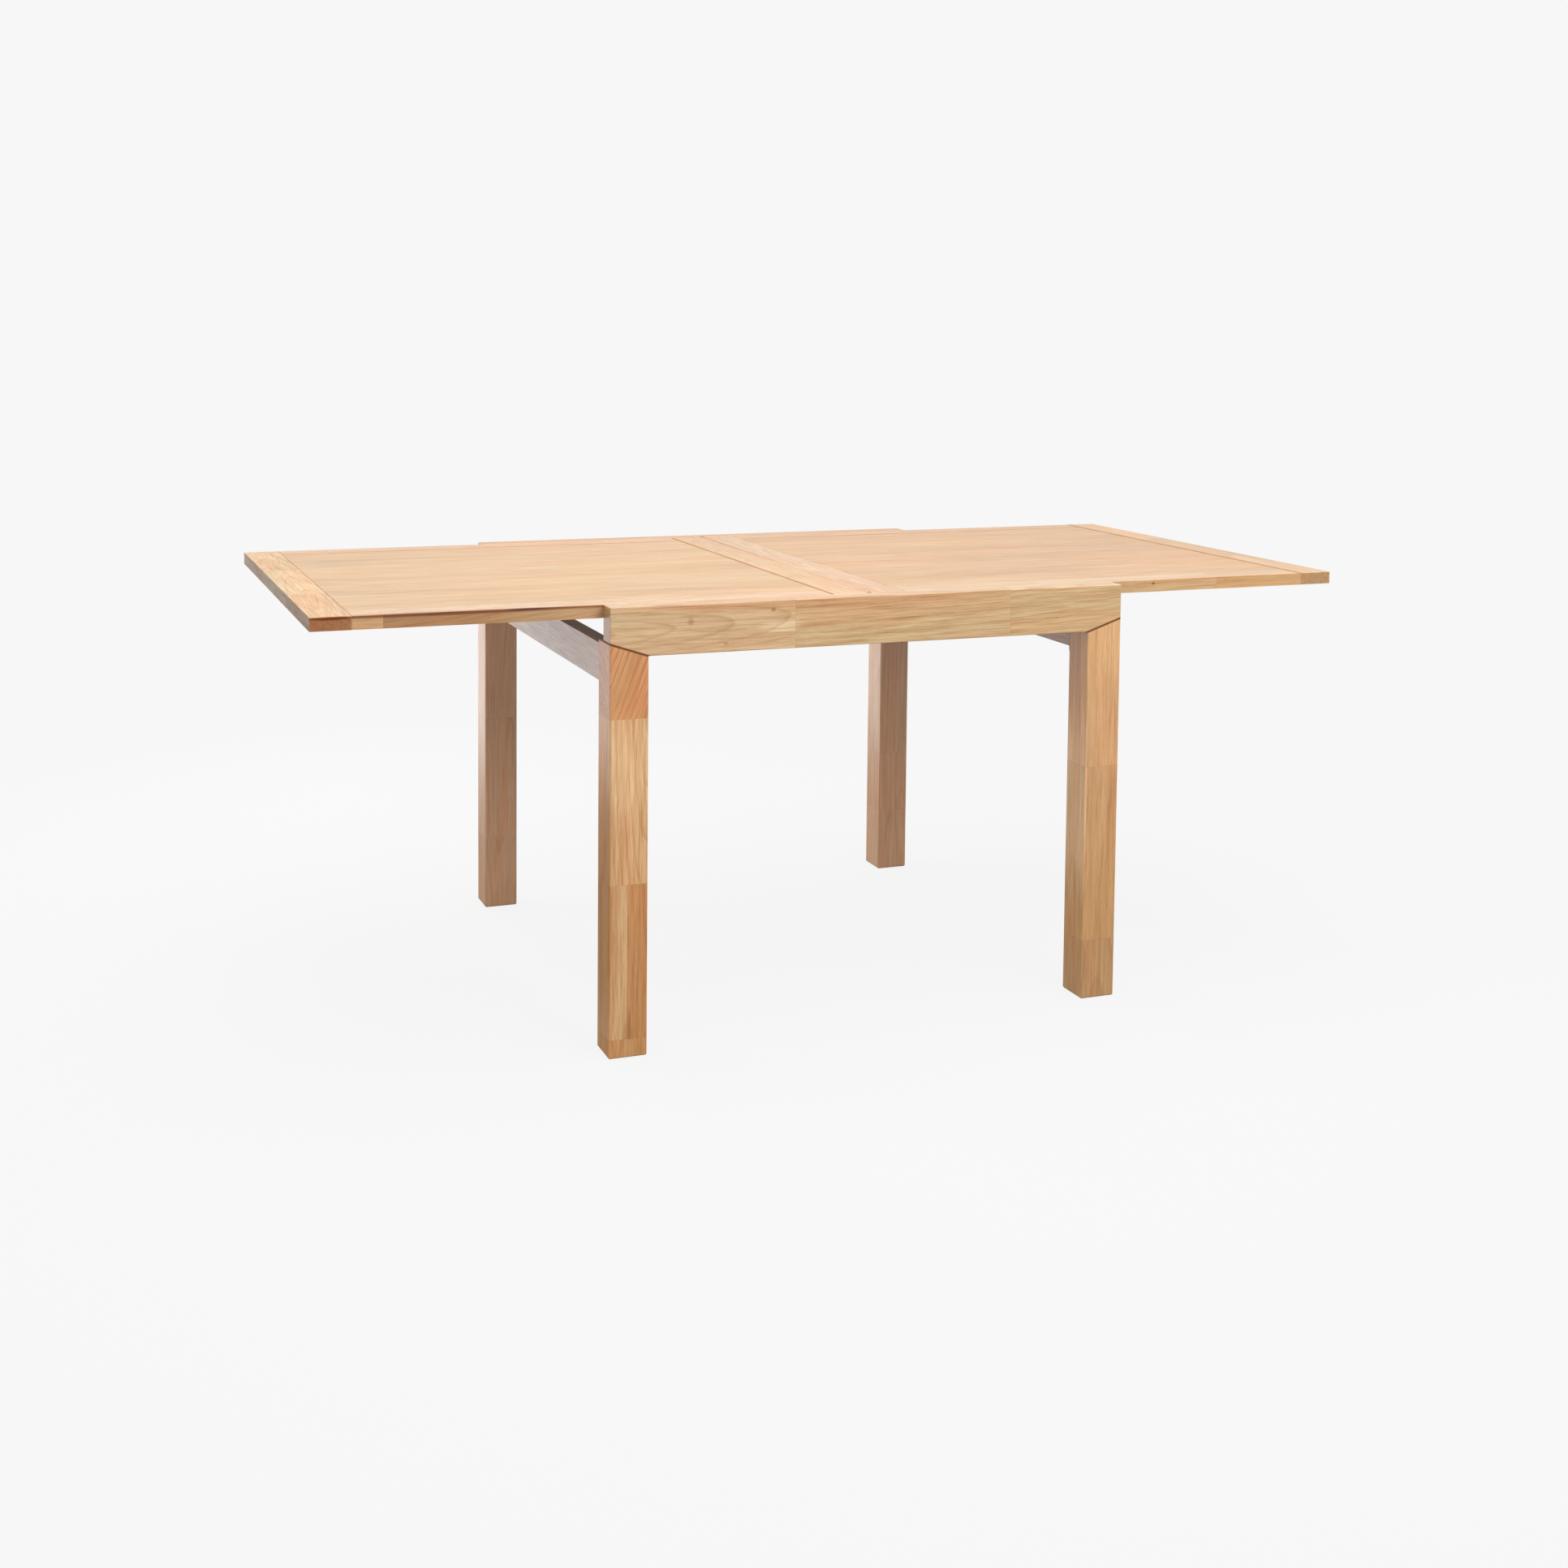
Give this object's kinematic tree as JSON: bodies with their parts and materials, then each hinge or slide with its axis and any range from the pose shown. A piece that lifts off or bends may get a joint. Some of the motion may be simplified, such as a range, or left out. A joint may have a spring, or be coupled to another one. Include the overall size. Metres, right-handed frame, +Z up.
{
  "type": "extending dining table",
  "caption": "Square extending table on square legs; the top slides sideways between two long aprons and its second leaf folds over onto the first.",
  "frame": {"origin": "on the floor under the middle of the base, with the top open", "axes": "+X the way the top extends, towards the folding leaf; +Y to the back; +Z up"},
  "size_m": [1.9, 0.95, 0.7528],
  "materials": {
    "frame_wood": "satin lacquer",
    "panel_wood": "satin lacquer",
    "inner_wood": "planed, uncoated",
    "brass": "satin",
    "steel": "zinc plated",
    "nylon": "matte"
  },
  "bodies": {
    "base": {"apron_back": "frame_wood", "apron_front": "frame_wood", "bearer_back": "inner_wood", "bearer_front": "inner_wood", "bearer_screws": "steel", "centre_stretcher": "inner_wood", "corner_block_back_left": "inner_wood", "corner_block_back_right": "inner_wood", "corner_block_front_left": "inner_wood", "corner_block_front_right": "inner_wood", "corner_block_screws": "steel", "end_rail_left": "frame_wood", "end_rail_right": "frame_wood", "floor_glides": "nylon", "glide_strip_back": "nylon", "glide_strip_front": "nylon", "leg_back_left": "frame_wood", "leg_back_right": "frame_wood", "leg_dowels": "inner_wood", "leg_front_left": "frame_wood", "leg_front_right": "frame_wood", "slide_stops": "nylon", "stretcher_screws": "steel"},
    "left_leaf": {"left_outer_rail": "frame_wood", "left_panel": "panel_wood", "left_inner_rail": "frame_wood", "left_strip_front": "frame_wood", "left_strip_back": "frame_wood", "runner_front": "inner_wood", "runner_back": "inner_wood", "runner_screws": "steel", "left_hinge_plate_front": "brass", "left_hinge_plate_back": "brass", "left_hinge_screws": "brass", "hinge_pins": "brass"},
    "right_leaf": {"right_outer_rail": "frame_wood", "right_panel": "panel_wood", "right_inner_rail": "frame_wood", "right_strip_front": "frame_wood", "right_strip_back": "frame_wood", "right_hinge_plate_front": "brass", "right_hinge_plate_back": "brass", "right_hinge_screws": "brass"}
  },
  "joints": [
    {"name": "top_slide", "type": "slide", "parent": "base", "child": "left_leaf", "axis": [1, 0, 0], "range_m": [0, 0.475]},
    {"name": "leaf_fold", "type": "hinge", "parent": "left_leaf", "child": "right_leaf", "pos_m": [0, 0, 0.7503], "axis": [0, -1, 0], "range_deg": [0, 180]}
  ]
}
